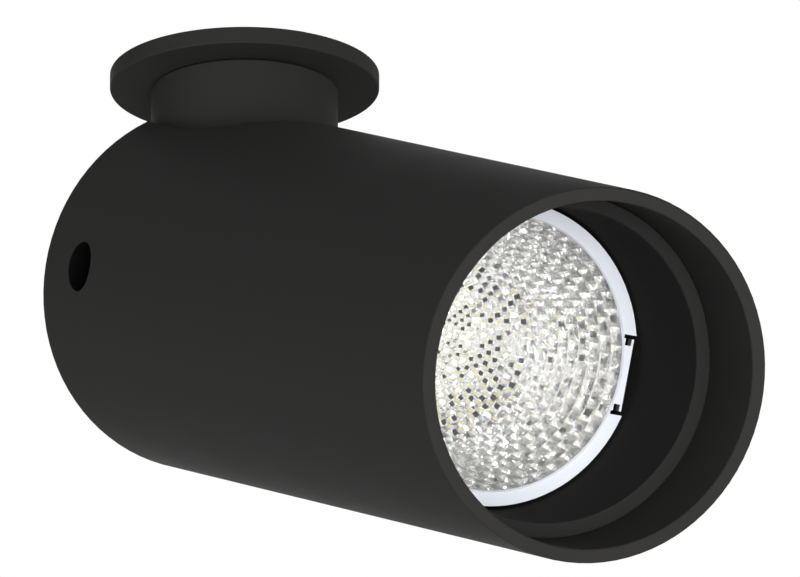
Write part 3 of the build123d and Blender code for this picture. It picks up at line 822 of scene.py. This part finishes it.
# %% [markdown]
# The ceiling stem
#
# A hollow rod with a fine thread goes up into the ceiling, where a ring nut holds it, and the same
# thread carries the neck's nut below. Its collar is screwed to the flange. A thread is a helix, not
# a stack of rings: a zigzag line is spun once round while it climbs one pitch, so that its end
# meets its own start one groove higher. Flat cuts trim it, and bridges join it to the plain parts.

# %% Size the stem
stem_low, stem_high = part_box("ceiling_stem")
stem_bottom, stem_top = stem_low.z, stem_high.z
stem_collar_radius = stem_high.x
stem_collar_thickness = 2.0 * MM
stem_bore = 4.0 * MM
shank_bottom = -10.2 * MM
run_out = 0.5 * MM
lead_in = 0.6 * MM
thread_radius = 5.0 * MM
thread_pitch = 1.0 * MM
depth_per_pitch = 0.6134
root_radius = thread_radius - depth_per_pitch * thread_pitch
thread_steps = 48
print("stem reaches from", round(stem_bottom / MM, 2), "to", round(stem_top / MM, 2), "mm")

# %% Define a thread
root_share = 1 / 4
crest_share = 1 / 8
flank_share = (1 - root_share - crest_share) / 2
crest_start = root_share + flank_share
turns_below = 2
turns_above = 1
thread_weld = 0.001 * MM
plane_reach = 0.00001 * MM


def add_thread(bm, low, high):
    """Adds a thread's outside between two heights, cut flat at both ends."""
    profile = (
        (0.0, root_radius), (root_share, root_radius),
        (crest_start, thread_radius), (crest_start + crest_share, thread_radius),
    )
    line = []
    for turn in range(ceil((high - low) / thread_pitch) + turns_below + turns_above):
        for share, radius in profile:
            line.append(bm.verts.new((radius, 0, low + (turn + share - turns_below) * thread_pitch)))
    edges = [bm.edges.new(pair) for pair in zip(line, line[1:])]
    bmesh.ops.spin(
        bm, geom=line + edges, cent=(0, 0, 0), axis=(0, 0, 1), angle=tau, steps=thread_steps,
        dvec=(0, 0, thread_pitch / thread_steps),
    )
    bmesh.ops.remove_doubles(bm, verts=bm.verts, dist=thread_weld)
    for height, above in ((low, False), (high, True)):
        bmesh.ops.bisect_plane(
            bm, geom=bm.verts[:] + bm.edges[:] + bm.faces[:], plane_co=(0, 0, height),
            plane_no=(0, 0, 1), dist=plane_reach, clear_outer=above, clear_inner=not above,
        )


def end_loop(bm, height):
    """The open edges of a bmesh at a height."""
    loop = []
    for edge in bm.edges:
        level = all(abs(vertex.co.z - height) < thread_weld for vertex in edge.verts)
        if edge.is_boundary and level:
            loop.append(edge)
    return loop


print("thread is", round((thread_radius - root_radius) / MM, 2), "mm deep")

# %% Build the stem
bm = bmesh.new()
upper = (run_out, stem_top - lead_in)
lower = (stem_bottom + lead_in, shank_bottom - run_out)
for low, high in (upper, lower):
    thread = bmesh.new()
    add_thread(thread, low, high)
    join(bm, thread)
bore_line = (
    (root_radius, stem_top), (stem_bore, stem_top),
    (stem_bore, stem_bottom), (root_radius, stem_bottom),
)
collar_line = (
    (root_radius, 0.0), (stem_collar_radius, 0.0), (stem_collar_radius, -stem_collar_thickness),
    (thread_radius, -stem_collar_thickness), (thread_radius, shank_bottom),
)
for outline in (bore_line, collar_line):
    line = [bm.verts.new((radius, 0, height)) for radius, height in outline]
    edges = [bm.edges.new(pair) for pair in zip(line, line[1:])]
    bmesh.ops.spin(
        bm, geom=line + edges, cent=(0, 0, 0), axis=(0, 0, 1), angle=tau, steps=2 * thread_steps,
        use_merge=True,
    )
gaps = (
    (end_loop(bm, 0.0), end_loop(bm, upper[0])),
    (end_loop(bm, upper[1]), end_loop(bm, stem_top)),
    (end_loop(bm, shank_bottom), end_loop(bm, lower[1])),
    (end_loop(bm, lower[0]), end_loop(bm, stem_bottom)),
)
for one, other in gaps:
    bmesh.ops.bridge_loops(bm, edges=one + other)
bmesh.ops.recalc_face_normals(bm, faces=bm.faces)
open_edges = sum(1 for edge in bm.edges if not edge.is_manifold)
stem = as_object(bm, "threaded_stem")
print("stem has", open_edges, "open edges")

# %% [markdown]
# The collar's screw holes
#
# Three countersunk screws hold the collar. A cutter of the screw's own shape, a little larger,
# takes out all three holes at once.

# %% Cut the screw holes
screw_circle = 10.0 * MM
screw_count = 3
sink_radius = 2.35 * MM
sink_depth = 1.1 * MM
hole_radius = 1.25 * MM
cut_top = 1.0 * MM
cut_bottom = -3.0 * MM

hole_section = (
    (0.0, cut_top), (sink_radius, cut_top), (sink_radius, 0.0), (hole_radius, -sink_depth),
    (hole_radius, cut_bottom), (0.0, cut_bottom),
)
cutter = bmesh.new()
for screw in range(screw_count):
    turn = pi / 2 + screw * tau / screw_count
    centre = Vector((screw_circle * cos(turn), screw_circle * sin(turn), 0))
    hole = spun(hole_section, thread_steps)
    bmesh.ops.translate(hole, verts=hole.verts, vec=centre)
    join(cutter, hole)
cut(stem, as_object(cutter, "hole_cutter"))
bm = bmesh.new()
bm.from_mesh(stem.data)
mark_sharp(bm)
bm.to_mesh(stem.data)
bm.free()
add_piece(stem, "ceiling_mount", "zinc_steel", finishes["zinc_steel"])
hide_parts("ceiling_stem")

# %% [markdown]
# The wave washer
#
# A thin spring steel ring, pressed into three waves, takes up the play between the neck and its
# nut. The flat ring is spun, and then each point rises and falls with its angle.

# %% Press the wave washer
wave_low, wave_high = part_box("wave_washer")
wave_count = 3
sheet = 0.35 * MM
washer_clearance = 0.1 * MM

washer_radius = wave_high.x
inner_radius = thread_radius + washer_clearance
level = (wave_low.z + wave_high.z) / 2
wave_height = (wave_high.z - wave_low.z - sheet) / 2
section = (
    (inner_radius, level - sheet / 2), (washer_radius, level - sheet / 2),
    (washer_radius, level + sheet / 2), (inner_radius, level + sheet / 2),
)
bm = spun(section, round_steps)
for vertex in bm.verts:
    vertex.co.z += wave_height * sin(wave_count * atan2(vertex.co.y, vertex.co.x))
mark_sharp(bm)
wave = as_object(bm, "waved_washer")
add_piece(wave, "ceiling_mount", "zinc_steel", finishes["zinc_steel"])
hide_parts("wave_washer")
